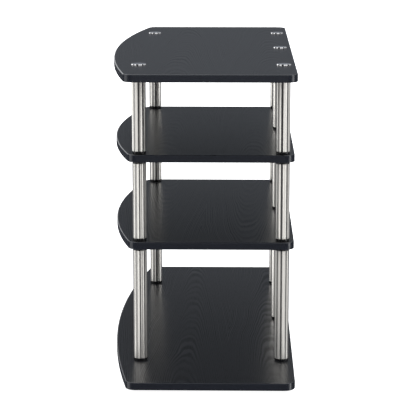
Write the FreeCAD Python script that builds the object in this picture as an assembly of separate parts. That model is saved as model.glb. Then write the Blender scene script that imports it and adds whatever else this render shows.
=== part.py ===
import FreeCAD, Part
import math
import os

# Television stand: four bow-fronted laminated shelves, held apart by fifteen polished tubes.
# Millimetres. X runs along the stand, the bowed front faces -Y and the straight back +Y, Z is up.
# The origin lies on the floor under the middle of the stand. Left and right are as seen from the front.

# Posts: two at the front and three at the back in each bay
POST_SPAN = 710.0
POST_GAUGE = 305.0
TUBE_DIAMETER = 30.0
TUBE_WALL = 1.2

# Shelves, seen from above: how far each edge lies outside the centres of the posts
END_SHELF_OVERHANG = 178.5
MIDDLE_SHELF_OVERHANG = 27.0
FRONT_OVERHANG = 20.0
BACK_OVERHANG = 25.0
BOW = 50.0
FRONT_CORNER_RADIUS = 22.0
BACK_CORNER_RADIUS = 24.0

# Shelf section: a board with a plastic band round its edge
BOARD_THICKNESS = 16.0
BAND_THICKNESS = 2.0
BAND_ARRIS_RADIUS = 1.5

# Clear height between one shelf and the next
LOWER_BAY = 249.0
MIDDLE_BAY = 172.0
UPPER_BAY = 172.0

# Plug that closes each tube end: a collar that shows, and a finned stem inside the tube
COLLAR_HEIGHT = 5.0
COLLAR_STEP_IN = 0.5
COLLAR_CHAMFER = 0.6
STEM_LENGTH = 24.0
STEM_LEAD_IN = 2.0
BOSS_WALL = 1.8
FIN_COUNT = 6
FIN_WIDTH = 2.4
FIN_FIT = 0.1

# Threaded hardware, drawn as plain shanks
SHANK_DIAMETER = 8.0
SHANK_RUNOUT = 3.0
SHANK_CHAMFER = 1.0
NUT_ACROSS_FLATS = 13.0
NUT_HEIGHT = 6.5
NUT_FIT = 0.1
THREAD_FIT = 0.1
PLUG_HOLE_CLEARANCE = 0.25
BOARD_HOLE_CLEARANCE = 0.5

# Round-headed cap screws on the top shelf
CAP_DIAMETER = 32.0
CAP_HEIGHT = 2.5
CAP_EDGE_RADIUS = 0.5

# Feet under the bottom shelf
FOOT_DIAMETER = 34.0
FOOT_SOLE = 6.7
FOOT_EDGE_RADIUS = 2.5
BOLT_HEAD_HEIGHT = 5.3

# Places that follow from the sizes above
SIDE_DEPTH = FRONT_OVERHANG + POST_GAUGE + BACK_OVERHANG
BACK_Y = (SIDE_DEPTH + BOW) / 2
SIDE_FRONT_Y = BACK_Y - SIDE_DEPTH
REAR_POST_Y = BACK_Y - BACK_OVERHANG
FRONT_POST_Y = SIDE_FRONT_Y + FRONT_OVERHANG
END_SHELF_LENGTH = POST_SPAN + 2 * END_SHELF_OVERHANG
MIDDLE_SHELF_LENGTH = POST_SPAN + 2 * MIDDLE_SHELF_OVERHANG
POSTS = {
    "front_left": (-POST_SPAN / 2, FRONT_POST_Y),
    "front_right": (POST_SPAN / 2, FRONT_POST_Y),
    "rear_left": (-POST_SPAN / 2, REAR_POST_Y),
    "rear_centre": (0.0, REAR_POST_Y),
    "rear_right": (POST_SPAN / 2, REAR_POST_Y),
}
BAYS = {"lower": LOWER_BAY, "middle": MIDDLE_BAY, "upper": UPPER_BAY}
SHELVES = {
    "bottom_shelf": END_SHELF_LENGTH,
    "lower_shelf": MIDDLE_SHELF_LENGTH,
    "upper_shelf": MIDDLE_SHELF_LENGTH,
    "top_shelf": END_SHELF_LENGTH,
}
TUBE_BORE = TUBE_DIAMETER - 2 * TUBE_WALL
SHANK_REACH = COLLAR_HEIGHT + STEM_LENGTH + SHANK_RUNOUT
FOOT_HEIGHT = FOOT_SOLE + BOLT_HEAD_HEIGHT
TOLERANCE = 1e-6
UP = FreeCAD.Vector(0, 0, 1)


def cylinder(diameter, height, z=0.0):
    """A round bar standing on the Z axis, with its foot at height z."""
    return Part.makeCylinder(diameter / 2, height, FreeCAD.Vector(0, 0, z))


def hexagon(across_flats, height, z=0.0):
    """A six-sided bar standing on the Z axis, with its foot at height z."""
    corner_radius = across_flats / math.sqrt(3)
    corners = []
    for side in range(7):
        angle = side * math.pi / 3
        corners.append(FreeCAD.Vector(corner_radius * math.cos(angle), corner_radius * math.sin(angle), z))
    return Part.Face(Part.makePolygon(corners)).extrude(UP * height)


def edges_at(shape, z):
    """The edges that lie flat at height z."""
    edges = []
    for edge in shape.Edges:
        box = edge.BoundBox
        if box.ZLength < TOLERANCE and abs(box.ZMin - z) < TOLERANCE:
            edges.append(edge)
    return edges


def round_corners(prism, half_length, y, radius):
    """A prism with its two upright corners rounded that stand at half_length left and right, and at y."""
    corners = []
    for edge in prism.Edges:
        middle = edge.CenterOfMass
        upright = edge.BoundBox.ZLength > TOLERANCE
        if upright and abs(abs(middle.x) - half_length) < TOLERANCE and abs(middle.y - y) < TOLERANCE:
            corners.append(edge)
    return prism.makeFillet(radius, corners)


def at_each_post(shape, z):
    """Copies of a piece drawn on the Z axis, one on each post, raised by z."""
    copies = []
    for x, y in POSTS.values():
        copy = shape.copy()
        copy.translate(FreeCAD.Vector(x, y, z))
        copies.append(copy)
    return copies


def shelf_prism(length, inset, z):
    """A shelf's outline drawn in by inset and made as thick as the board.

    The sides and the back are straight. The front is one arc, which swells by BOW between the
    two front corners, so its radius follows from the shelf's length. All four corners are rounded.
    """
    bow_radius = (length * length / 4 + BOW * BOW) / (2 * BOW)
    bow_centre_y = SIDE_FRONT_Y - BOW + bow_radius
    half = length / 2 - inset
    radius = bow_radius - inset
    corner_y = bow_centre_y - math.sqrt(radius * radius - half * half)
    back_y = BACK_Y - inset
    back_left = FreeCAD.Vector(-half, back_y, z)
    back_right = FreeCAD.Vector(half, back_y, z)
    front_right = FreeCAD.Vector(half, corner_y, z)
    front_left = FreeCAD.Vector(-half, corner_y, z)
    front_middle = FreeCAD.Vector(0, bow_centre_y - radius, z)
    outline = Part.Wire([
        Part.LineSegment(back_left, back_right).toShape(),
        Part.LineSegment(back_right, front_right).toShape(),
        Part.Arc(front_right, front_middle, front_left).toShape(),
        Part.LineSegment(front_left, back_left).toShape(),
    ])
    prism = Part.Face(outline).extrude(UP * BOARD_THICKNESS)
    prism = round_corners(prism, half, back_y, BACK_CORNER_RADIUS - inset)
    return round_corners(prism, half, corner_y, FRONT_CORNER_RADIUS - inset)


def shelf_board(length, z):
    """The laminated board inside its edge band, with a hole for the shank at each post."""
    board = shelf_prism(length, BAND_THICKNESS, z)
    hole = cylinder(SHANK_DIAMETER + 2 * BOARD_HOLE_CLEARANCE, BOARD_THICKNESS)
    return board.cut(at_each_post(hole, z))


def shelf_band(length, z):
    """The band that wraps the board's edge, its two outer arrises eased."""
    arris = min(BAND_ARRIS_RADIUS, 0.8 * BAND_THICKNESS, 0.4 * BOARD_THICKNESS)
    outer = shelf_prism(length, 0.0, z)
    rims = edges_at(outer, z) + edges_at(outer, z + BOARD_THICKNESS)
    return outer.makeFillet(arris, rims).cut(shelf_prism(length, BAND_THICKNESS, z))


def tube(bay):
    """One tube, drawn with its foot at the origin: it stands between the two collars in a bay."""
    length = bay - 2 * COLLAR_HEIGHT
    return cylinder(TUBE_DIAMETER, length).cut(cylinder(TUBE_BORE, length))


def end_plug():
    """A tube's end plug, drawn with its collar on the shelf and its stem pointing up.

    The stem is a round boss with flat fins that grip the tube. A hexagonal pocket in the top of
    the boss holds the nut, and the shank passes up the middle.
    """
    collar_diameter = TUBE_DIAMETER - 2 * COLLAR_STEP_IN
    collar = cylinder(collar_diameter, COLLAR_HEIGHT)
    collar = collar.makeChamfer(COLLAR_CHAMFER, edges_at(collar, 0.0))
    pocket_flats = NUT_ACROSS_FLATS + 2 * NUT_FIT
    boss_diameter = 2 * (pocket_flats / math.sqrt(3) + BOSS_WALL)
    stem_top = COLLAR_HEIGHT + STEM_LENGTH
    boss = cylinder(boss_diameter, STEM_LENGTH, COLLAR_HEIGHT)
    fin_tip_radius = TUBE_BORE / 2 - FIN_FIT
    fin_reach = math.sqrt(fin_tip_radius ** 2 - (FIN_WIDTH / 2) ** 2)
    fin_outline = [
        FreeCAD.Vector(0, 0, COLLAR_HEIGHT),
        FreeCAD.Vector(fin_reach, 0, COLLAR_HEIGHT),
        FreeCAD.Vector(fin_reach, 0, stem_top - STEM_LEAD_IN),
        FreeCAD.Vector(fin_reach - STEM_LEAD_IN, 0, stem_top),
        FreeCAD.Vector(0, 0, stem_top),
        FreeCAD.Vector(0, 0, COLLAR_HEIGHT),
    ]
    fin = Part.Face(Part.makePolygon(fin_outline)).extrude(FreeCAD.Vector(0, FIN_WIDTH, 0))
    fin.translate(FreeCAD.Vector(0, -FIN_WIDTH / 2, 0))
    fins = []
    for number in range(FIN_COUNT):
        turned = fin.copy()
        turned.rotate(FreeCAD.Vector(0, 0, 0), UP, number * 360 / FIN_COUNT)
        fins.append(turned)
    solid = collar.fuse([boss] + fins).removeSplitter()
    bore = cylinder(SHANK_DIAMETER + 2 * PLUG_HOLE_CLEARANCE, stem_top)
    return solid.cut([bore, hexagon(pocket_flats, NUT_HEIGHT, stem_top - NUT_HEIGHT)])


def plug_nut():
    """The nut in a plug's pocket, in the plug's own place."""
    foot = COLLAR_HEIGHT + STEM_LENGTH - NUT_HEIGHT
    bore = cylinder(SHANK_DIAMETER + 2 * THREAD_FIT, NUT_HEIGHT, foot)
    return hexagon(NUT_ACROSS_FLATS, NUT_HEIGHT, foot).cut(bore)


def upside_down(shape):
    """The same piece turned over, as it sits at the head of a tube."""
    turned = shape.copy()
    turned.rotate(FreeCAD.Vector(0, 0, 0), FreeCAD.Vector(1, 0, 0), 180)
    return turned


def shank(length, z, both_ends):
    """A threaded shank with its upper end chamfered, and its lower end too where both_ends is set."""
    bar = cylinder(SHANK_DIAMETER, length, z)
    ends = edges_at(bar, z + length)
    if both_ends:
        ends = ends + edges_at(bar, z)
    return bar.makeChamfer(SHANK_CHAMFER, ends)


def shelf_stud():
    """The stud through a middle shelf, which reaches into the plugs below and above it."""
    return shank(BOARD_THICKNESS + 2 * SHANK_REACH, -SHANK_REACH, True)


def cap_screw():
    """A polished disc head that rests on the top shelf, and its shank down into the plug."""
    head = cylinder(CAP_DIAMETER, CAP_HEIGHT)
    head = head.makeFillet(CAP_EDGE_RADIUS, edges_at(head, CAP_HEIGHT))
    leg = upside_down(shank(BOARD_THICKNESS + SHANK_REACH, 0.0, False))
    return head.fuse(leg)


def foot_bolt():
    """A hexagon-headed bolt, its head just below the bottom shelf and its shank up into the plug."""
    head = hexagon(NUT_ACROSS_FLATS, BOLT_HEAD_HEIGHT, -BOLT_HEAD_HEIGHT)
    return head.fuse(shank(BOARD_THICKNESS + SHANK_REACH, 0.0, False))


def foot():
    """A round foot, eased where it meets the floor, with a pocket for its bolt's head."""
    pad = cylinder(FOOT_DIAMETER, FOOT_HEIGHT)
    pad = pad.makeFillet(FOOT_EDGE_RADIUS, edges_at(pad, 0.0))
    return pad.cut(hexagon(NUT_ACROSS_FLATS + 2 * NUT_FIT, BOLT_HEAD_HEIGHT, FOOT_SOLE))


def shelf_levels():
    """The height of each shelf's underside, from the bottom shelf to the top."""
    levels = [FOOT_HEIGHT]
    for bay in BAYS.values():
        levels.append(levels[-1] + BOARD_THICKNESS + bay)
    return dict(zip(SHELVES, levels))


def build():
    """Every piece by its name."""
    pieces = {}
    levels = shelf_levels()
    pieces["feet"] = Part.makeCompound(at_each_post(foot(), 0.0))
    pieces["foot_bolts"] = Part.makeCompound(at_each_post(foot_bolt(), FOOT_HEIGHT))
    for shelf, length in SHELVES.items():
        pieces[shelf + "_board"] = shelf_board(length, levels[shelf])
        pieces[shelf + "_edge_band"] = shelf_band(length, levels[shelf])
    base_plug = end_plug()
    head_plug = upside_down(base_plug)
    base_nut = plug_nut()
    head_nut = upside_down(base_nut)
    for (bay, height), level in zip(BAYS.items(), levels.values()):
        floor = level + BOARD_THICKNESS
        ceiling = floor + height
        for post, column in zip(POSTS, at_each_post(tube(height), floor + COLLAR_HEIGHT)):
            pieces[bay + "_tube_" + post] = column
        pieces[bay + "_tube_base_plugs"] = Part.makeCompound(at_each_post(base_plug, floor))
        pieces[bay + "_tube_head_plugs"] = Part.makeCompound(at_each_post(head_plug, ceiling))
        nuts = at_each_post(base_nut, floor) + at_each_post(head_nut, ceiling)
        pieces[bay + "_tube_plug_nuts"] = Part.makeCompound(nuts)
    for shelf in ("lower_shelf", "upper_shelf"):
        pieces[shelf + "_studs"] = Part.makeCompound(at_each_post(shelf_stud(), levels[shelf]))
    pieces["cap_screws"] = Part.makeCompound(at_each_post(cap_screw(), levels["top_shelf"] + BOARD_THICKNESS))
    return pieces


os.makedirs("parts", exist_ok=True)
for node, shape in build().items():
    shape.exportStep("parts/" + node + ".step")
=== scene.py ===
# %% [markdown]
# # A bow-fronted TV stand
#
# This lesson dresses an open TV stand: four black wood-grain shelves with a bowed front, held apart
# by bright steel tubes. The construction model is loaded first and stays where it is. Some of its
# solids only get a finish. Others are covered by a smoother surface, worked out with numpy in the
# same place. Lengths are in metres. The bowed front looks along -Y, the straight back along +Y, and
# the stand is 1.07 m long along X.

import math

import bpy
import numpy as np
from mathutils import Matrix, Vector


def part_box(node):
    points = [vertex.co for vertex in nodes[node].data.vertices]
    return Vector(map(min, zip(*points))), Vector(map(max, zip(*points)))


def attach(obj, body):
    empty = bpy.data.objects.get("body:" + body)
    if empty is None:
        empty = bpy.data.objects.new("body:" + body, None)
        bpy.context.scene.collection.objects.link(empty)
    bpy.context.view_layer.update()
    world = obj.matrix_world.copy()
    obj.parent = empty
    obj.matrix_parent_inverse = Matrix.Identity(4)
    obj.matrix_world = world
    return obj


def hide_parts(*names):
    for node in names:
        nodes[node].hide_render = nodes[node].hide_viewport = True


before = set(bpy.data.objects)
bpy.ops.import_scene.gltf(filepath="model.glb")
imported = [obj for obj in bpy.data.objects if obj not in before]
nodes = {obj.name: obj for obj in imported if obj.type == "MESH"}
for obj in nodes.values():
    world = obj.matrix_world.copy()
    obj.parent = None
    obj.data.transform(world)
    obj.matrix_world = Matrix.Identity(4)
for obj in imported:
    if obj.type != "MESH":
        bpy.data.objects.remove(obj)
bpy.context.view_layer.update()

# %% [markdown]
# ## Where the posts stand
#
# A post is three tubes, one over the other, with a shelf between each pair. There are five posts:
# two at the front and three along the back. Each solid knows its own box, so the places are read
# from there and no number has to be typed twice.

# %% Read the place of every tube
TIERS = ("lower", "middle", "upper")
POSTS = ("front_left", "front_right", "rear_left", "rear_centre", "rear_right")


def tube_place(tier, post):
    """The tube's axis (x, y), and the heights of its foot and its head, from the box of its solid."""
    low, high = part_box(f"{tier}_tube_{post}")
    middle = (low + high) / 2
    return np.array((middle.x, middle.y)), low.z, high.z


for post in POSTS:
    axis, foot, head = tube_place("lower", post)
    print(f"post {post}: x {axis[0]:.3f}, y {axis[1]:.3f}, lowest tube from {foot:.3f} to {head:.3f}")

# %% [markdown]
# ## One way to make every new surface
#
# A tube, an edge band and a screw head have something in common. Each is a small profile that is
# carried along a path: round an axis, or round the rim of a shelf. Blender could do it with a Screw
# modifier or a bevelled curve. Here it is one formula on two whole arrays, because then the edges are
# rounded exactly as wanted, and the mesh closes on itself with no doubled points to merge.
#
# Profiles and paths are both made of arcs. A row of such an array holds a point and the direction
# that looks outwards from it.

# %% Arcs and the loops they make
QUARTER = math.pi / 2
TOUCHING = 1e-7
LARGEST_HOLD = 0.3


def arc(centre, radius, start, stop, steps):
    """Rows (p, q, outward p, outward q): centre + radius (cos a, sin a), with a from start to stop."""
    angles = np.linspace(start, stop, steps)
    outward = np.column_stack((np.cos(angles), np.sin(angles)))
    return np.hstack((np.asarray(centre) + radius * outward, outward))


def joined(arcs, hold):
    """One closed loop through the arcs, in order, with a straight run from each arc to the next.

    On a run, one point stands at the distance hold from either end, or on a short run at LARGEST_HOLD
    of it. These points keep the run flat, because smooth shading then turns on the arc and not along
    the run. Arcs that touch share one point.
    """
    rows = []
    for here, after in zip(arcs, arcs[1:] + arcs[:1]):
        run = after[0, :2] - here[-1, :2]
        length = np.linalg.norm(run)
        if length < TOUCHING:
            rows.append(here[:-1])
            continue
        step = run * min(hold / length, LARGEST_HOLD)
        leaving = np.hstack((here[-1, :2] + step, here[-1, 2:]))
        arriving = np.hstack((after[0, :2] - step, after[0, 2:]))
        rows += [here, leaving, arriving]
    return np.vstack(rows)


def bar_profile(inner, outer, bottom, top, inner_radius, outer_radius, steps, hold):
    """Closed profile of an upright bar: up its outer side, in over the top, down inside and out again.

    Each corner is a quarter circle, outer_radius on the outer side and inner_radius on the inner.
    """
    corners = (
        ((outer - outer_radius, bottom + outer_radius), outer_radius, -1),
        ((outer - outer_radius, top - outer_radius), outer_radius, 0),
        ((inner + inner_radius, top - inner_radius), inner_radius, 1),
        ((inner + inner_radius, bottom + inner_radius), inner_radius, 2),
    )
    return joined([arc(c, r, q * QUARTER, (q + 1) * QUARTER, steps) for c, r, q in corners], hold)


print("a quarter circle in four points:", arc((0, 0), 1, 0, QUARTER, 4)[:, :2].round(2).tolist())


# %% Carry a profile along a path, and make the mesh
def carried(profile, path):
    """Grid of points: path point + outward direction times the profile's first number, at its second.

    With the path's points all on one axis this is a lathe. With a shelf's outline it is a moulding.
    """
    grid = np.empty((len(path), len(profile), 3))
    grid[..., :2] = path[:, None, :2] + path[:, None, 2:] * profile[None, :, :1]
    grid[..., 2] = profile[None, :, 1]
    return grid


def lengths_along(points):
    """Distance run from the first point to each point of a closed loop, and back to the first."""
    steps = np.linalg.norm(np.roll(points, -1, axis=0) - points, axis=1)
    return np.concatenate(([0.0], np.cumsum(steps)))


def ring_faces(rows, columns):
    """Quads of a grid that closes on itself both ways, wound so that they look outwards."""
    index = np.arange(rows * columns).reshape(rows, columns)
    next_row = np.roll(index, -1, axis=0)
    corners = (index, next_row, np.roll(next_row, -1, axis=1), np.roll(index, -1, axis=1))
    return np.stack(corners, axis=-1).reshape(-1, 4).tolist()


def add_piece(name, points, faces, solid, corner_map=None):
    """A smooth mesh object at the origin that rides on the stand and stands for the named solid."""
    mesh = bpy.data.meshes.new(name)
    mesh.from_pydata(points.reshape(-1, 3).tolist(), [], faces)
    mesh.polygons.foreach_set("use_smooth", np.ones(len(mesh.polygons), bool))
    if corner_map is not None:
        mesh.uv_layers.new(name="run").data.foreach_set("uv", corner_map.ravel())
    mesh.update()
    piece = bpy.data.objects.new(name, mesh)
    bpy.context.scene.collection.objects.link(piece)
    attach(piece, "root")
    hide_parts(solid)
    return piece


print("faces on a grid of 4 by 3 points that closes both ways:", len(ring_faces(4, 3)))

# %% [markdown]
# ## The steel tubes
#
# The real posts are thin polished tubes, cut to length, with the sharp edge taken off at both ends. A
# tube is a lathe: the section of its wall, a tall thin bar with eased corners, goes once round the
# axis. 96 steps round give a smooth line of light on the steel.

# %% Turn the fifteen tubes
TUBE_RADIUS = 0.015
TUBE_WALL = 0.0012
LIP_RADIUS = 0.0004
LIP_STEPS = 5
TUBE_HOLD = 0.0015
TURN_STEPS = 96


def lathe_path(axis):
    """Path of a lathe: every point lies on the axis, and the outward direction goes once round."""
    return arc(axis, 0, 0, 2 * math.pi, TURN_STEPS + 1)[:-1]


def steel_tube(tier, post):
    """The wall's profile, carried round the tube's axis."""
    axis, foot, head = tube_place(tier, post)
    inner = TUBE_RADIUS - TUBE_WALL
    wall = bar_profile(inner, TUBE_RADIUS, foot, head, LIP_RADIUS, LIP_RADIUS, LIP_STEPS, TUBE_HOLD)
    grid = carried(wall, lathe_path(axis))
    faces = ring_faces(TURN_STEPS, len(wall))
    return add_piece(f"steel_tube_{tier}_{post}", grid, faces, f"{tier}_tube_{post}")


tubes = [steel_tube(tier, post) for tier in TIERS for post in POSTS]
print("tubes:", len(tubes), "faces in each:", len(tubes[0].data.polygons))

# %% [markdown]
# ## The edge bands
#
# A board of this kind is cut from a laminated sheet, and a strip of black plastic is glued round its
# rim. Its two arrises are rounded, and that thin round is what catches the light in a picture. The
# strip is a profile carried along the outline of the shelf: a straight back, two straight ends and
# one long bow at the front, with a rounded corner where they meet.

# %% Draw the outline of a shelf
BOW = 0.050
FRONT_CORNER = 0.022
BACK_CORNER = 0.024
CORNER_STEPS = 24
BOW_STEPS = 160
OUTLINE_HOLD = 0.004


def shelf_outline(low, high):
    """Closed path round a shelf, anticlockwise from above.

    The bow is one arc over the shelf's length, with radius (length^2 / 4 + bow^2) / (2 bow). A front
    corner is a circle that touches the end inside and the bow inside, so its centre is one corner
    radius from the end and (bow radius - corner radius) from the bow's centre.
    """
    half = (high.x - low.x) / 2
    bow_radius = (half**2 + BOW**2) / (2 * BOW)
    bow_y = low.y + bow_radius
    side = half - FRONT_CORNER
    front_y = bow_y - math.sqrt((bow_radius - FRONT_CORNER) ** 2 - side**2)
    lean = math.atan2(front_y - bow_y, side)
    back_y = high.y - BACK_CORNER
    back = half - BACK_CORNER
    arcs = [
        arc((side, front_y), FRONT_CORNER, lean, 0, CORNER_STEPS),
        arc((back, back_y), BACK_CORNER, 0, QUARTER, CORNER_STEPS),
        arc((-back, back_y), BACK_CORNER, QUARTER, 2 * QUARTER, CORNER_STEPS),
        arc((-side, front_y), FRONT_CORNER, -math.pi, -math.pi - lean, CORNER_STEPS),
        arc((0, bow_y), bow_radius, -math.pi - lean, lean, BOW_STEPS),
    ]
    return joined(arcs, OUTLINE_HOLD)


print("points round the top shelf:", len(shelf_outline(*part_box("top_shelf_edge_band"))))

# %% Carry the band along each outline
SHELVES = ("bottom_shelf", "lower_shelf", "upper_shelf", "top_shelf")
BAND_THICKNESS = 0.002
BAND_ARRIS = 0.0015
BAND_BACK_ARRIS = 0.00005
ARRIS_STEPS = 8
BAND_HOLD = 0.0004


def edge_band(shelf):
    """The band's section, flush with the board above and below, carried round the shelf.

    Its map gives each corner of a face the distance along the band and the distance across it.
    """
    solid = f"{shelf}_edge_band"
    low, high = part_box(solid)
    path = shelf_outline(low, high)
    radii = (BAND_BACK_ARRIS, BAND_ARRIS)
    section = bar_profile(-BAND_THICKNESS, 0, low.z, high.z, *radii, ARRIS_STEPS, BAND_HOLD)
    grid = carried(section, path)
    rows, columns = grid.shape[:2]
    along = lengths_along(path[:, :2])
    across = lengths_along(section[:, :2])
    row, column = np.meshgrid(np.arange(rows), np.arange(columns), indexing="ij")
    u = np.stack((along[row], along[row + 1], along[row + 1], along[row]), axis=-1)
    v = np.stack((across[column], across[column], across[column + 1], across[column + 1]), axis=-1)
    corner_map = np.stack((u, v), axis=-1)
    faces = ring_faces(rows, columns)
    return add_piece(f"edge_band_{shelf}", grid, faces, solid, corner_map)


bands = [edge_band(shelf) for shelf in SHELVES]
print("bands:", len(bands), "faces:", [len(band.data.polygons) for band in bands])

# %% [markdown]
# ## The cap screws
#
# Over each post a flat round steel head lies on the top shelf. It draws the tubes together through
# its shank. A screw is a lathe too, but its profile starts and ends on the axis. There all points of
# a ring would fall together, so the first and the last ring are one point each, and triangles close
# the head like the slices of a cake. The rim tapers a little towards the top, so that it mirrors what
# lies a little above the horizon and shows as a bright line.

# %% The profile of a cap screw and the faces of a lathe
CAP_RADIUS = 0.016
CAP_TAPER = 0.0006
CAP_EDGE = 0.0004
CAP_EDGE_STEPS = 8
SEAT_EASE = 0.0001
RIM_HEIGHTS = (0.0001, 0.0004, 0.0012)
FACE_RINGS = (0.9, 0.5, 0)
SHANK_RADIUS = 0.004
SHANK_TIP = 0.0006


def cap_profile(bottom, seat, top):
    """From the shank's tip out along the seat, up the tapered rim, over its edge and in to the middle.

    The rim leans in by the taper, so its edge is an arc that starts at the angle of that lean.
    """
    lean = math.atan2(CAP_TAPER, top - seat)
    edge_centre = (CAP_RADIUS - CAP_TAPER - CAP_EDGE, top - CAP_EDGE)
    edge = arc(edge_centre, CAP_EDGE, lean, QUARTER, CAP_EDGE_STEPS)[:, :2]
    shank = [
        (0, bottom),
        (SHANK_RADIUS - SHANK_TIP, bottom),
        (SHANK_RADIUS, bottom + SHANK_TIP),
        (SHANK_RADIUS, seat),
        (CAP_RADIUS - SEAT_EASE, seat),
    ]
    rim = np.outer(RIM_HEIGHTS, (-CAP_TAPER / (top - seat), 1)) + (CAP_RADIUS, seat)
    face = [(share * CAP_RADIUS, top) for share in FACE_RINGS]
    return np.vstack((shank, rim, edge, face))


def lathe_faces(rows, columns, start):
    """Quads of the rings between the two points on the axis, and the triangles that close both ends.

    The points are the rings in turn, each from foot to head, then the lower and the upper end point.
    """
    index = start + np.arange(rows * columns).reshape(rows, columns)
    after = np.roll(index, -1, axis=0)
    quads = np.stack((index[:, :-1], after[:, :-1], after[:, 1:], index[:, 1:]), axis=-1)
    foot = start + rows * columns
    head = foot + 1
    lower = np.stack((np.full(rows, foot), after[:, 0], index[:, 0]), axis=-1)
    upper = np.stack((np.full(rows, head), index[:, -1], after[:, -1]), axis=-1)
    return quads.reshape(-1, 4).tolist() + lower.tolist() + upper.tolist()


screw_low, screw_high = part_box("cap_screws")
profile = cap_profile(screw_low.z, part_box("top_shelf_board")[1].z, screw_high.z)
rings = profile[1:-1]
print("points of a screw's profile:", len(profile), "of which become rings:", len(rings))

# %% Turn the five cap screws
cap_points = []
cap_faces = []
for number, post in enumerate(POSTS):
    axis = tube_place("upper", post)[0]
    grid = carried(rings, lathe_path(axis)).reshape(-1, 3)
    ends = [(*axis, profile[0, 1]), (*axis, profile[-1, 1])]
    points = np.vstack((grid, ends))
    cap_points.append(points)
    cap_faces += lathe_faces(TURN_STEPS, len(rings), number * len(points))
caps = add_piece("cap_screw_heads", np.vstack(cap_points), cap_faces, "cap_screws")
print("cap screws:", len(POSTS), "faces:", len(caps.data.polygons))

# %% [markdown]
# ## Shader maths as plain expressions
#
# A material is a tree of nodes. Wiring it by hand hides the formula, so one small class stands for a
# socket: `2 * height - 1` then adds the Math nodes by itself. Any other node comes from one method,
# which sets the node's own settings first and then its sockets.


# %% A socket that can be calculated with
class Wire:
    """One output socket in a node tree. Arithmetic on it adds Math nodes."""

    def __init__(self, tree, socket=None):
        self.tree = tree
        self.socket = socket

    def node(self, kind, settings=None, inputs=None, output=0):
        """Add a node, make its settings, then fill its sockets with values or links.

        The setting "stops" isn't Blender's own: it fills a ramp with pairs of place and grey level.
        """
        made = self.tree.nodes.new(kind)
        for key, value in (settings or {}).items():
            if key == "stops":
                curve = made.color_ramp
                while len(curve.elements) < len(value):
                    curve.elements.new(1.0)
                for element, (place, level) in zip(curve.elements, value):
                    element.position = place
                    element.color = (level, level, level, 1.0)
            else:
                setattr(made, key, value)
        for key, value in (inputs or {}).items():
            if isinstance(value, Wire):
                self.tree.links.new(value.socket, made.inputs[key])
            else:
                made.inputs[key].default_value = value
        return Wire(self.tree, made.outputs[output])

    def math(self, operation, first, second=0.0):
        """One Math node on values or wires."""
        return self.node("ShaderNodeMath", {"operation": operation}, {0: first, 1: second})

    def __add__(self, other):
        return self.math("ADD", self, other)

    def __sub__(self, other):
        return self.math("SUBTRACT", self, other)

    def __rsub__(self, other):
        return self.math("SUBTRACT", other, self)

    def __mul__(self, other):
        return self.math("MULTIPLY", self, other)

    def __truediv__(self, other):
        return self.math("DIVIDE", self, other)

    def __pow__(self, other):
        return self.math("POWER", self, other)

    __radd__ = __add__
    __rmul__ = __mul__


trial = bpy.data.node_groups.new("trial", "ShaderNodeTree")
formula = 2 * Wire(trial).node("ShaderNodeValue") - 1
print("nodes of 2 * height - 1:", [node.name for node in formula.tree.nodes])


# %% Helpers that make and fill a finish
def new_finish(name, **constants):
    """A material with one Principled shader, whose constant sockets are set, and a wire to start from."""
    material = bpy.data.materials.new(name)
    material.use_nodes = True
    tree = material.node_tree
    tree.nodes.clear()
    shader = tree.nodes.new("ShaderNodeBsdfPrincipled")
    output = tree.nodes.new("ShaderNodeOutputMaterial")
    tree.links.new(shader.outputs[0], output.inputs["Surface"])
    for socket, value in constants.items():
        shader.inputs[socket.replace("_", " ")].default_value = value
    return material, shader, Wire(tree)


def feed(shader, **wires):
    """Link wires to the shader's sockets."""
    for socket, wire in wires.items():
        wire.tree.links.new(wire.socket, shader.inputs[socket.replace("_", " ")])


def dress(material, names):
    """Put one material in every material slot of the named solids."""
    for name in names:
        for slot in nodes[name].material_slots:
            slot.material = material


print("plain materials that came with the model:", len(bpy.data.materials))


# %% Helpers for patterns
def multiplied(vector, scale):
    """A vector, multiplied by one factor on each axis."""
    return vector.node("ShaderNodeVectorMath", {"operation": "MULTIPLY"}, {0: vector, 1: scale})


def stretched(start, scale):
    """Object coordinates, multiplied by one factor on each axis."""
    return multiplied(start.node("ShaderNodeTexCoord", output="Object"), scale)


def part_of(vector, number):
    """One number of a vector: 0 is x, 1 is y and 2 is z."""
    return vector.node("ShaderNodeSeparateXYZ", {}, {0: vector}, number)


def noise(vector, detail=2.0, roughness=0.5):
    """Noise from 0 to 1 that changes about once for each unit of the vector."""
    inputs = {"Vector": vector, "Scale": 1.0, "Detail": detail, "Roughness": roughness}
    return vector.node("ShaderNodeTexNoise", {}, inputs)


def specks(start, per_metre, detail=2.0):
    """Noise that is the same in all directions, with about that many specks to the metre."""
    return noise(stretched(start, (per_metre, per_metre, per_metre)), detail)


def ramp(value, stops):
    """The value after a curve of straight pieces, whose stops are (value, level)."""
    return value.node("ShaderNodeValToRGB", {"stops": stops}, {0: value})


def blended(factor, first, second):
    """Colour from first, where factor is 0, to second, where it is 1.

    A Mix node has sockets of the same names for numbers, vectors and colours, so they go by number.
    """
    return factor.node("ShaderNodeMix", {"data_type": "RGBA"}, {0: factor, 6: first, 7: second}, 2)


def raised(height, depth):
    """Normals for a relief of that depth in metres."""
    return height.node("ShaderNodeBump", {}, {"Strength": 1.0, "Distance": depth, "Height": height})


pattern = specks(Wire(trial), 100.0)
print("nodes with a pattern of specks as well:", len(pattern.tree.nodes))
bpy.data.node_groups.remove(trial)

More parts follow.
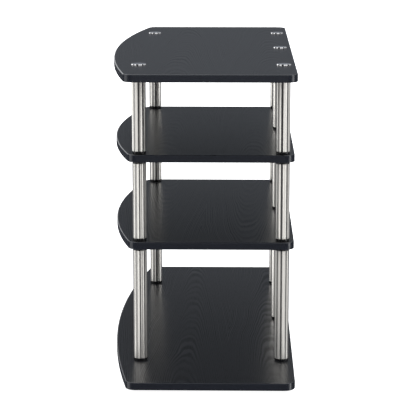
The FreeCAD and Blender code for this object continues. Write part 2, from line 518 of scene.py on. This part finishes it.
# %% [markdown]
# ## Black wood-grain laminate
#
# The shelves are covered with a paper that is printed like flat-sawn oak and pressed with its pores,
# nearly black. Flat-sawn wood shows arches: a stem narrows towards its top, so a plane along it cuts
# its rings in blunt arches with long flanks. So the ring that a point belongs to is counted from its
# place along the board, less an arch over t, the distance from the middle of the plank. The arch is
# flat while t is small, and then falls on a steady slope. Noise bends the rings, and makes them wide
# or narrow, strong or faint. Within a ring the tone darkens slowly and then breaks off, as late wood
# does. Fine short pores run along the board over it all. An image could do this too, but a formula
# has no edge and no pixels. The gloss is a clear coat, which is thinner on the dark lines.

# %% Count the rings of a board
RING_LENGTH = 0.058
RING_DRIFT = 1.1
DRIFT_PACE = 0.45
ARCH_SLOPE = 16.0
ARCH_TOP = 0.026
# Each row is a noise's scale on x, y and z, and how far in metres it moves the grain along and across.
SWINGS = (
    ((2.0, 6.0, 30.0), 0.200, 0.030),
    ((7.0, 26.0, 30.0), 0.050, 0.005),
    ((16.0, 70.0, 30.0), 0.030, 0.000),
)


def years(count, pace):
    """Noise along the count of the rings, so that it is the same all along one ring."""
    inputs = {"W": count, "Scale": pace, "Detail": 1.0}
    return count.node("ShaderNodeTexNoise", {"noise_dimensions": "1D"}, inputs)


def arch(t):
    """The arch at t, a number or a wire: the cube root of (t^3 + top^3), less top."""
    return (t * t * t + ARCH_TOP**3) ** (1 / 3) - ARCH_TOP


def ring_count(start, plank_y, plank, way):
    """The number of the ring at a point: (place along the board - slope times arch) / ring length.

    The arch lies over t, the distance from the middle of the plank. Three noises, from slow to quick,
    move the place, and a fourth along the count makes some rings wide and others narrow.
    """
    place = start.node("ShaderNodeTexCoord", output="Object")
    along = way * part_of(place, 0)
    across = part_of(place, 1) - plank_y
    for scale, far_along, far_across in SWINGS:
        swing = noise(stretched(start, scale), detail=1.0) - 0.5
        along = along + far_along * swing
        across = across + far_across * swing
    t = start.math("PINGPONG", across, plank / 2)
    count = (along - ARCH_SLOPE * arch(t)) / RING_LENGTH
    return count + RING_DRIFT * (years(count, DRIFT_PACE) - 0.5)


for t in (0.0, 0.03, 0.09):
    print(f"{t:.2f} m beside its middle, a ring has run {ARCH_SLOPE * arch(t):.3f} m along the board")

# %% The laminate, with its own planks for each shelf
BLACK_PAPER = (0.0180, 0.0190, 0.0215, 1.0)
BLACK_PORE = (0.0016, 0.0016, 0.0019, 1.0)
LATE_WOOD = [(0, 0), (0.30, 0.10), (0.60, 1), (0.85, 0.9), (1, 0)]
RING_STRENGTH = [(0, 0.25), (0.35, 0.35), (0.60, 1), (1, 1.2)]
RING_PACE = 7.3
PORES = (40.0, 1300.0, 30.0)
PORE_LINES = [(0, 0), (0.50, 0), (0.66, 1), (1, 1)]
PATCHES = (3.0, 9.0, 30.0)
PATCH_STRENGTH = [(0, 0.25), (0.42, 0.25), (0.60, 1), (1, 1)]
COAT = {"Specular_IOR_Level": 0.0, "Coat_IOR": 1.6, "Coat_Roughness": 0.28}
PORE_DEPTH = 0.00002


def laminate(name, plank_y, plank, way, contrast):
    """Wood grain along X: arches, bent rings and pores in the colour, the gloss and the relief.

    The planks are as wide as plank, with the middle of one at plank_y. Their arches point towards -X
    where way is 1 and towards +X where it is -1. The rings are as strong as contrast, fade in patches
    and show most in the pores. Grain is 0 where the paper is palest and 1 in a dark line: it is 0.42,
    plus the rings, plus a fifth of the pores, and at most 1.
    """
    material, shader, start = new_finish(name, **COAT)
    count = ring_count(start, plank_y, plank, way)
    strength = ramp(years(start.math("FLOOR", count), RING_PACE), RING_STRENGTH)
    late = ramp(start.math("FRACT", count), LATE_WOOD)
    pores = ramp(noise(stretched(start, PORES), detail=2.0, roughness=0.6), PORE_LINES)
    patch = ramp(noise(stretched(start, PATCHES), detail=1.0), PATCH_STRENGTH)
    rings = contrast * (late - 0.5) * strength * patch * (0.7 + 0.3 * pores)
    grain = start.math("MINIMUM", 0.42 + rings + 0.20 * pores, 1.0)
    feed(
        shader,
        Base_Color=blended(grain, BLACK_PAPER, BLACK_PORE),
        Coat_Weight=1.0 - 0.50 * grain,
        Roughness=0.50 + 0.10 * grain,
        Normal=raised(1.0 - grain, PORE_DEPTH),
    )
    return material


# Each row is the middle of a plank, the planks' width, the way of the arches and the rings' contrast.
PLANKS = {
    "bottom_shelf": (-0.030, 0.185, 1, 0.9),
    "lower_shelf": (0.106, 0.200, -1, 0.85),
    "upper_shelf": (0.115, 0.190, 1, 0.5),
    "top_shelf": (-0.045, 0.200, 1, 0.55),
}
for shelf, (plank_y, plank, way, contrast) in PLANKS.items():
    dress(laminate(f"black_laminate_{shelf}", plank_y, plank, way, contrast), [f"{shelf}_board"])
print("boards dressed:", list(PLANKS))

# %% [markdown]
# ## Black edge band
#
# The strip is plain extruded plastic, smoother than the laminate but with a weaker reflection. Fine
# lines run along it from the die. They follow the strip round the corners, so this pattern reads the
# strip's own map, which holds the distance along it and the distance across it in metres.

# %% The band's finish
BLACK_STRIP = (0.0132, 0.0154, 0.0222, 1.0)
BLACK_STRIP_LINE = (0.0088, 0.0103, 0.0145, 1.0)
STRIP_IOR = 1.40
DIE_LINES = (14.0, 1600.0, 1.0)
STRIP_GRAIN = 900.0
LINE_DEPTH = 0.00003


def band_finish():
    """Lines along the strip, from noise that is stretched along the map's first axis."""
    material, shader, start = new_finish("black_edge_band", IOR=STRIP_IOR)
    run = start.node("ShaderNodeUVMap", {"uv_map": "run"})
    lines = noise(multiplied(run, DIE_LINES), detail=3.0, roughness=0.6)
    grain = specks(start, STRIP_GRAIN, detail=1.0)
    feed(
        shader,
        Base_Color=blended(lines, BLACK_STRIP, BLACK_STRIP_LINE),
        Roughness=0.18 + 0.08 * lines,
        Normal=raised(lines + 0.4 * grain, LINE_DEPTH),
    )
    return material


band_material = band_finish()
for band in bands:
    band.data.materials.append(band_material)
print("bands dressed:", len(bands))

# %% [markdown]
# ## Polished steel
#
# A bright tube is almost only its surroundings, seen in a bent mirror. What makes it steel and not
# a perfect mirror is the work on it. Drawing leaves faint lines along the tube, and polishing round
# and round spreads the light along it but hardly across it. So the streaks are crisp from side to
# side and soft from end to end. The shader's anisotropy gives the spread. Noise that is fine across
# the tube and long along it changes the roughness and the tone by a few hundredths. The heads of the
# screws are faced on a lathe and a little greyer, and there a finer and rounder noise does.

# %% The steel of the tubes and the caps
TUBE_STEEL = ((0.70, 0.685, 0.65, 1.0), (0.58, 0.565, 0.53, 1.0))
TUBE_LINES = (700.0, 700.0, 5.0)
TUBE_ROUGHNESS = 0.285
TUBE_SPREAD = {"Anisotropic": 1.0, "Anisotropic_Rotation": 0.25}
CAP_STEEL = ((0.37, 0.37, 0.375, 1.0), (0.33, 0.33, 0.335, 1.0))
CAP_LINES = (900.0, 900.0, 900.0)
CAP_ROUGHNESS = 0.10
STEEL_DEPTH = 0.000001


def steel_finish(name, tones, scale, roughness, **constants):
    """A metal whose tone and roughness, by 0.04 up or down, follow noise stretched by the scale."""
    material, shader, start = new_finish(name, Metallic=1.0, **constants)
    lines = noise(stretched(start, scale), detail=3.0, roughness=0.65)
    feed(
        shader,
        Base_Color=blended(lines, *tones),
        Roughness=roughness - 0.04 + 0.08 * lines,
        Normal=raised(lines, STEEL_DEPTH),
    )
    return material


tube_steel = steel_finish("polished_steel_tube", TUBE_STEEL, TUBE_LINES, TUBE_ROUGHNESS, **TUBE_SPREAD)
for tube in tubes:
    tube.data.materials.append(tube_steel)
caps.data.materials.append(steel_finish("polished_steel_cap", CAP_STEEL, CAP_LINES, CAP_ROUGHNESS))
print("steel pieces dressed:", len(tubes) + 1)

# %% [markdown]
# ## Moulded plastic and zinc
#
# The collars at the tube ends and the feet are black moulded plastic with a fine spark-eroded grain.
# The nuts, studs and bolts inside are zinc-plated steel: duller, a little blue and blotchy. Nobody
# sees them in the picture, but a part that is taken off the shelf may be taken apart as well.

# %% The last two finishes
BLACK_MOULD = (0.0090, 0.0090, 0.0096, 1.0)
BLACK_MOULD_WORN = (0.0140, 0.0140, 0.0150, 1.0)
MOULD_IOR = 1.48
MOULD_GRAIN = 1800.0
MOULD_PATCH = 60.0
MOULD_DEPTH = 0.00002
ZINC = (0.56, 0.58, 0.61, 1.0)
ZINC_DULL = (0.40, 0.41, 0.43, 1.0)
ZINC_BLOTCH = 140.0
ZINC_GRAIN = 2500.0
ZINC_DEPTH = 0.00001


def plastic_finish():
    """Fine grain in the relief, and broad soft patches in tone and gloss."""
    material, shader, start = new_finish("black_plastic", IOR=MOULD_IOR)
    grain = specks(start, MOULD_GRAIN)
    patch = specks(start, MOULD_PATCH)
    feed(
        shader,
        Base_Color=blended(patch, BLACK_MOULD, BLACK_MOULD_WORN),
        Roughness=0.30 + 0.10 * patch + 0.06 * grain,
        Normal=raised(grain, MOULD_DEPTH),
    )
    return material


def zinc_finish():
    """Blotches of brighter and duller zinc, and a very fine grain."""
    material, shader, start = new_finish("zinc_steel", Metallic=1.0)
    blotch = specks(start, ZINC_BLOTCH, detail=3.0)
    grain = specks(start, ZINC_GRAIN, detail=1.0)
    feed(
        shader,
        Base_Color=blended(blotch, ZINC, ZINC_DULL),
        Roughness=0.30 + 0.15 * blotch,
        Normal=raised(grain, ZINC_DEPTH),
    )
    return material


plugs = [f"{tier}_tube_{end}_plugs" for tier in TIERS for end in ("base", "head")]
moulded = plugs + ["feet"]
nuts = [f"{tier}_tube_plug_nuts" for tier in TIERS]
fixings = nuts + ["lower_shelf_studs", "upper_shelf_studs", "foot_bolts"]
dress(plastic_finish(), moulded)
dress(zinc_finish(), fixings)
print("plastic solids:", len(moulded), "zinc solids:", len(fixings))

# %% [markdown]
# ## The studio
#
# The picture has a plain white ground with no shadow on it, and soft light from above. The floor glows
# by itself, like a light table, so it stays white. A sun with a very wide disc lights the stand. The
# black shelves are seen at a low angle and mirror the room, so the room sets their tone: its far side
# has one level for each height, its near side is dim, and it brightens overhead. The floor and the
# sun aren't mirrored, because they would wash out the grain. Only the camera sees the room as white.

# %% Lay the floor
WHITE = (1.0, 1.0, 1.0, 1.0)
FLOOR_TONES = ((0.86, 0.86, 0.86, 1.0), (0.88, 0.88, 0.88, 1.0))
FLOOR_MOTTLE = 0.8
FLOOR_GLOW = 1.0
FLOOR_RADIUS = 400.0
FLOOR_STEPS = 64


def flat_disc(name, radius):
    """A round sheet on the ground: the centre and a circle of points, joined by triangles."""
    circle = arc((0, 0), radius, 0, 2 * math.pi, FLOOR_STEPS + 1)[:-1, :2]
    points = np.zeros((FLOOR_STEPS + 1, 3))
    points[1:, :2] = circle
    ring = np.arange(1, FLOOR_STEPS + 1)
    faces = np.stack((np.zeros(FLOOR_STEPS, int), ring, np.roll(ring, -1)), axis=-1)
    mesh = bpy.data.meshes.new(name)
    mesh.from_pydata(points.tolist(), [], faces.tolist())
    sheet = bpy.data.objects.new(name, mesh)
    bpy.context.scene.collection.objects.link(sheet)
    return sheet


def floor_finish():
    """Matt and nearly white, a little mottled, with its own glow."""
    glow = {"Emission_Color": WHITE, "Emission_Strength": FLOOR_GLOW}
    material, shader, start = new_finish("pale_floor", Roughness=1.0, Specular_IOR_Level=0.0, **glow)
    feed(shader, Base_Color=blended(specks(start, FLOOR_MOTTLE), *FLOOR_TONES))
    return material


floor = flat_disc("studio_floor", FLOOR_RADIUS)
floor.data.materials.append(floor_finish())
floor.visible_glossy = False
floor.visible_shadow = False
print("floor radius:", FLOOR_RADIUS)

# %% Light the room
SUN_STRENGTH = 2.6
SUN_WIDTH = math.radians(90)
BLACK = (0.0, 0.0, 0.0, 1.0)
ROOM_FAR = (0.93, 1.0, 1.12, 1.0)
ROOM_LEVELS = [(0, 0.08), (0.05, 0.29), (0.12, 0.295), (0.20, 0.135), (0.32, 0.13), (1, 0.17)]
ROOM_NEAR = (0.050, 0.051, 0.055, 1.0)
ROOM_ABOVE = (0.60, 0.61, 0.64, 1.0)
OVERHEAD = [(0, 0), (0.42, 0), (0.70, 1), (1, 1)]


def room_colour(start):
    """Colour of the room in a direction (x, y, z), where +x is the camera's side and z is the height.

    The far side has a level for each height. It turns into the near side's colour as (x + 1) / 2 goes
    from 0 to 1, and high up both turn into the colour overhead.
    """
    direction = start.node("ShaderNodeTexCoord", output="Generated")
    height = part_of(direction, 2)
    far = blended(ramp(height, ROOM_LEVELS), BLACK, ROOM_FAR)
    sides = blended(part_of(direction, 0) * 0.5 + 0.5, far, ROOM_NEAR)
    return blended(ramp(height, OVERHEAD), sides, ROOM_ABOVE)


sun = bpy.data.objects.new("soft_overhead_light", bpy.data.lights.new("soft_overhead_light", "SUN"))
sun.data.energy = SUN_STRENGTH
sun.data.angle = SUN_WIDTH
sun.visible_glossy = False
bpy.context.scene.collection.objects.link(sun)

room = bpy.data.worlds.new("dim_room")
room.use_nodes = True
room.node_tree.nodes.clear()
room_start = Wire(room.node_tree)
seen = room_start.node("ShaderNodeLightPath", output="Is Camera Ray")
paint = blended(seen, room_colour(room_start), WHITE)
background = room_start.node("ShaderNodeBackground", {}, {"Color": paint})
room_output = room.node_tree.nodes.new("ShaderNodeOutputWorld")
room.node_tree.links.new(background.socket, room_output.inputs["Surface"])
bpy.context.scene.world = room
print("nodes in the room:", len(room.node_tree.nodes))

# %% [markdown]
# ## Light cards
#
# Bright steel needs something to mirror, so a photographer stands pale cards round it. The dark
# streaks on a tube are the gaps between them. Here each card is a tall area light. Light linking lets
# it shine on chosen pieces alone, and only in reflections, so the black shelves stay black. The cards
# for the steel stand in two rows, of which the upper one is brighter. Some of them are for one post or
# for one tube, because each tube in the picture has its own streaks.
#
# The rims of the shelves have a few cards that draw a line along their rounded corners, and one card
# overhead does the same for their upper edges. The boards have three weak ones, on the sides that the
# room leaves dark. A card is given by the two directions between which it stands, in degrees from the
# camera's side, by the heights of its lower and upper end, and by how bright it is.

# %% Hang one card, or stand many
CARD_DISTANCE = 5.0
WATTS_PER_AREA = 4.0


def hang_card(name, place, towards, width, height, level, receivers, tint=WHITE):
    """One card: an area light that only the receivers see, and only in their gloss.

    Its power is level times area times 4 watts per square metre, so that level 1 is white.
    """
    light = bpy.data.lights.new(name, "AREA")
    light.shape = "RECTANGLE"
    light.size = width
    light.size_y = height
    light.energy = level * WATTS_PER_AREA * width * height
    light.color = tint[:3]
    card = bpy.data.objects.new(name, light)
    card.location = place
    card.rotation_euler = towards.to_track_quat("-Z", "Y").to_euler()
    card.visible_camera = False
    card.visible_diffuse = False
    card.light_linking.receiver_collection = receivers
    bpy.context.scene.collection.objects.link(card)


def those_who_see(name, pieces):
    """A collection of pieces, for the light linking of the cards."""
    receivers = bpy.data.collections.new(name)
    for piece in pieces:
        receivers.objects.link(piece)
    return receivers


def stand_cards(name, cards, pieces, tint=WHITE):
    """Upright cards round the stand's axis, seen by the pieces.

    A card between two directions is as wide as 2 distance tan(half the angle between them).
    """
    receivers = those_who_see(name, pieces)
    for first, last, low, high, level in cards:
        turn = math.radians((first + last) / 2)
        away = Vector((math.cos(turn), math.sin(turn), 0.0))
        width = 2 * CARD_DISTANCE * math.tan(math.radians((last - first) / 2))
        place = away * CARD_DISTANCE + Vector((0.0, 0.0, (low + high) / 2))
        hang_card(name, place, -away, width, high - low, level, receivers, tint)


print("watts for each square metre of a white card:", WATTS_PER_AREA)

# %% Directions and brightness of the cards for the steel
# A row of cards has a lower end, an upper end and a gain. A card has two directions and a level.
CARD_ROWS = ((-7, 1, 1.0), (1, 7, 2.5))
FRONT_POST_CARDS = (
    (-145, -104, 0.20),
    (-103, -80, 1.05),
    (-79, -58, 0.25),
    (-28, -9, 0.88),
    (112, 150, 0.22),
)
FRONT_RIGHT_CARDS = (
    (-57, -40, 0.30),
    (-39, -29, 0.88),
    (13, 28, 0.72),
    (29, 45, 0.20),
    (46, 63, 1.06),
    (90, 110, 0.45),
)
UPPER_FRONT_RIGHT_CARDS = (
    (-150, -96, 0.92),
    (-94, -66, 0.18),
    (-64, -18, 0.64),
    (9, 29, 0.36),
    (31, 52, 1.00),
    (87, 107, 0.80),
)
FRONT_LEFT_CARDS = (
    (-56, -32, 0.08),
    (34, 50, 0.75),
    (78, 110, 1.70),
)
REAR_POST_CARDS = (
    (-170, -131, 0.09),
    (-130, -98, 1.15),
    (-97, -75, 0.06),
    (-74, -54, 0.48),
    (-53, -35, 0.99),
    (2, 19, 0.85),
    (20, 37, 0.61),
    (38, 56, 0.94),
    (84, 104, 0.55),
    (106, 150, 0.33),
)
LOWER_REAR_RIGHT_CARDS = (
    (-150, -101, 0.70),
    (-97, -72, 0.10),
    (-69, -26, 0.60),
    (2, 55, 0.66),
    (80, 106, 0.80),
    (110, 145, 0.10),
)
REAR_CENTRE_CARDS = ((-165, -84, 0.75),)
print("rows of cards:", len(CARD_ROWS), "gain of each:", [gain for low, high, gain in CARD_ROWS])


# %% Stand them round the steel
def both_rows(cards):
    """The cards of the lower row and, brighter, of the upper row."""
    rows = []
    for low, high, gain in CARD_ROWS:
        rows += [(first, last, low, high, level * gain) for first, last, level in cards]
    return rows


def named(word, pieces):
    """Those of the pieces whose names hold the word."""
    return [piece for piece in pieces if word in piece.name]


upper_front_right = named("upper_front_right", tubes)
lower_rear_right = named("lower_rear_right", tubes)
other_tubes = [tube for tube in tubes if tube not in upper_front_right + lower_rear_right]
front_tubes = named("front", other_tubes)
rear_tubes = named("rear", other_tubes)
STEEL_CARDS = (
    ("cards_for_front_posts", FRONT_POST_CARDS, front_tubes),
    ("cards_for_front_right_post", FRONT_RIGHT_CARDS, named("right", front_tubes)),
    ("cards_for_upper_front_right_tube", UPPER_FRONT_RIGHT_CARDS, upper_front_right),
    ("cards_for_front_left_post", FRONT_LEFT_CARDS, named("left", front_tubes)),
    ("cards_for_rear_posts", REAR_POST_CARDS, rear_tubes + [caps]),
    ("cards_for_lower_rear_right_tube", LOWER_REAR_RIGHT_CARDS, lower_rear_right),
    ("cards_for_rear_centre_post", REAR_CENTRE_CARDS, named("centre", rear_tubes)),
)
for set_name, cards, pieces in STEEL_CARDS:
    stand_cards(set_name, both_rows(cards), pieces)
    print(f"{set_name}: {len(cards)} in each row, for {len(pieces)} pieces")

# %% Cards for the rims and the boards
RIM_CARDS = (
    (-175, -125, 0.5, 5, 0.7),
    (-100, -60, -4, 6, 1.3),
    (-20, 20, -0.5, 6, 0.20),
    (59, 76, -4, 6, 3.9),
)
BOARD_CARDS = (
    (-105, -36, 0.6, 4.5, 0.12),
    (-35, 35, 0.6, 4.5, 0.22),
    (36, 105, 0.6, 4.5, 0.12),
)
ABOVE_HEIGHT = 3.0
ABOVE_SIDE = 6.0
ABOVE_LEVEL = 1.2

boards = [nodes[f"{shelf}_board"] for shelf in SHELVES]
collars = [nodes[name] for name in plugs]
stand_cards("cards_for_rims", RIM_CARDS, bands + collars)
stand_cards("cards_for_boards", BOARD_CARDS, boards, ROOM_FAR)
above = Vector((0.0, 0.0, ABOVE_HEIGHT))
rims = those_who_see("card_above", bands)
hang_card("card_above", above, -above, ABOVE_SIDE, ABOVE_SIDE, ABOVE_LEVEL, rims)
print("cards for the rims:", len(RIM_CARDS) + 1, "and for the boards:", len(BOARD_CARDS))

# %% [markdown]
# ## The camera
#
# The picture is taken from one end of the stand, from a little above, with a long lens: the far shelf
# is hardly smaller than the near one. The camera's place and its lens were worked out from where the
# corners of the shelves lie in the picture. The picture is 416 pixels square.

# %% Set the camera
FRAME_PIXELS = 416
FOCAL_PIXELS = 1721.7
SENSOR_MILLIMETRES = 36.0
FARTHEST_SEEN = 2000.0
CAMERA_PLACE = (3.9585, 0.0816, 1.0716)
CAMERA_YAW = 0.0182
CAMERA_PITCH = 0.1942

lens = bpy.data.cameras.new("end_view")
lens.sensor_width = SENSOR_MILLIMETRES
lens.lens = FOCAL_PIXELS / FRAME_PIXELS * SENSOR_MILLIMETRES
lens.clip_end = FARTHEST_SEEN
camera = bpy.data.objects.new("end_view", lens)
camera.location = CAMERA_PLACE
ahead = math.cos(CAMERA_PITCH)
sight_x = -math.cos(CAMERA_YAW) * ahead
sight_y = -math.sin(CAMERA_YAW) * ahead
line_of_sight = Vector((sight_x, sight_y, -math.sin(CAMERA_PITCH)))
camera.rotation_euler = line_of_sight.to_track_quat("-Z", "Y").to_euler()
bpy.context.scene.collection.objects.link(camera)
bpy.context.scene.camera = camera
bpy.context.scene.view_settings.view_transform = "Standard"
print("lens in millimetres:", round(lens.lens, 1))
